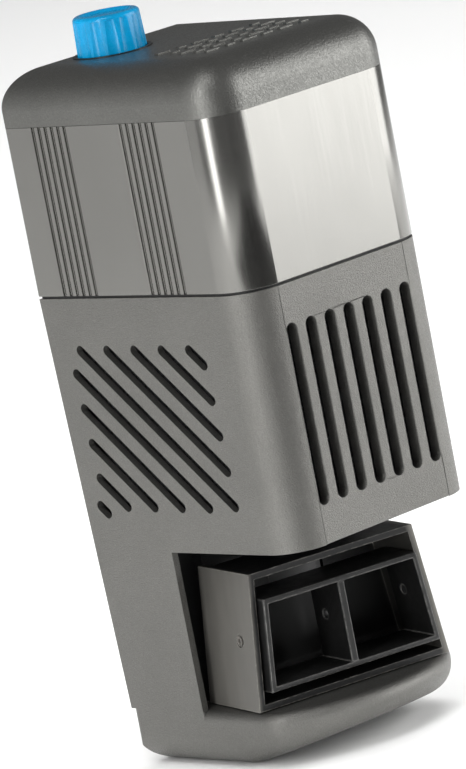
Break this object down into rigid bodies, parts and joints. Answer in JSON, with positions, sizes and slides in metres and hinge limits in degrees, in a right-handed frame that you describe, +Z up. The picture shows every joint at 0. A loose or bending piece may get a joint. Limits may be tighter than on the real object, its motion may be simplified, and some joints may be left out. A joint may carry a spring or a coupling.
{
  "type": "submersible aquarium pump",
  "caption": "Tall grey submersible aquarium pump with slotted intake sides, a glossy pull-off head, a fluted air knob and a swivelling, tilting twin-channel outlet.",
  "frame": {"origin": "centre of the flat sole that the pump stands on, below the middle of the casing", "axes": "+Z up along the tall housing, -Y towards the front grille and the outlet, +X to the right seen from the front"},
  "size_m": [0.08, 0.1, 0.2348],
  "materials": {
    "casing": "fine-grained metallic grey moulding",
    "steel": "machined",
    "outlet": "satin dark grey moulding",
    "pin_grey": "satin grey",
    "nozzle": "satin charcoal, paler along its edges",
    "gloss_grey": "smooth glossy metallic grey",
    "black_rubber": "matt black rubber",
    "lid": "coarse-grained metallic grey moulding",
    "black_plastic": "satin black",
    "blue": "glossy azure",
    "white_plastic": "satin white",
    "clear_tube": "smooth milky",
    "foam": "open-cell foam",
    "lamination": "stacked steel sheets",
    "copper": "enamelled wire",
    "magnet": "sintered ferrite",
    "ceramic": "polished white ceramic",
    "cup_rubber": "soft black rubber"
  },
  "bodies": {
    "housing": {"casing": "casing", "chamber_floor": "black_plastic", "front_grille": "casing", "base_cover": "casing", "base_screws": "steel", "foam_tray": "black_plastic", "foam_block": "foam", "air_riser_tube": "clear_tube", "motor_can": "black_plastic", "motor_cap": "black_plastic", "stator_core": "lamination", "stator_coils": "copper", "shaft_bushes": "black_rubber", "rotor_shaft": "ceramic", "volute": "black_plastic", "volute_cover": "black_plastic", "suction_cups": "cup_rubber", "cable_gland": "black_rubber"},
    "head": {"head_shell": "gloss_grey", "head_gasket": "black_rubber", "lid": "lid", "knob_collar": "black_plastic", "valve_body": "black_plastic", "air_drop_tube": "clear_tube"},
    "knob": {"knob": "blue", "valve_spindle": "black_plastic", "spindle_oring": "black_rubber", "valve_plug": "white_plastic"},
    "outlet": {"outlet_box": "outlet", "nozzle_pins": "pin_grey"},
    "nozzle": {"nozzle": "nozzle"},
    "rotor": {"impeller": "white_plastic", "rotor_magnet": "magnet"}
  },
  "joints": [
    {"name": "head_lift", "type": "slide", "parent": "housing", "child": "head", "axis": [0, 0, 1], "range_m": [0, 0.06]},
    {"name": "knob_turn", "type": "hinge", "parent": "head", "child": "knob", "pos_m": [-0.011, 0.0237, 0.2], "axis": [0, 0, 1], "range_deg": [0, 270]},
    {"name": "outlet_swivel", "type": "hinge", "parent": "housing", "child": "outlet", "pos_m": [0, -0.003, 0.04], "axis": [0, 0, 1], "range_deg": [-4, 32]},
    {"name": "nozzle_tilt", "type": "hinge", "parent": "outlet", "child": "nozzle", "pos_m": [-0.00324, -0.016, 0.0402], "axis": [0.9703, -0.2419, 0], "range_deg": [-15, 15]},
    {"name": "rotor_spin", "type": "hinge", "parent": "housing", "child": "rotor", "pos_m": [0, 0.0285, 0.045], "axis": [0, 0, 1], "continuous": true}
  ]
}
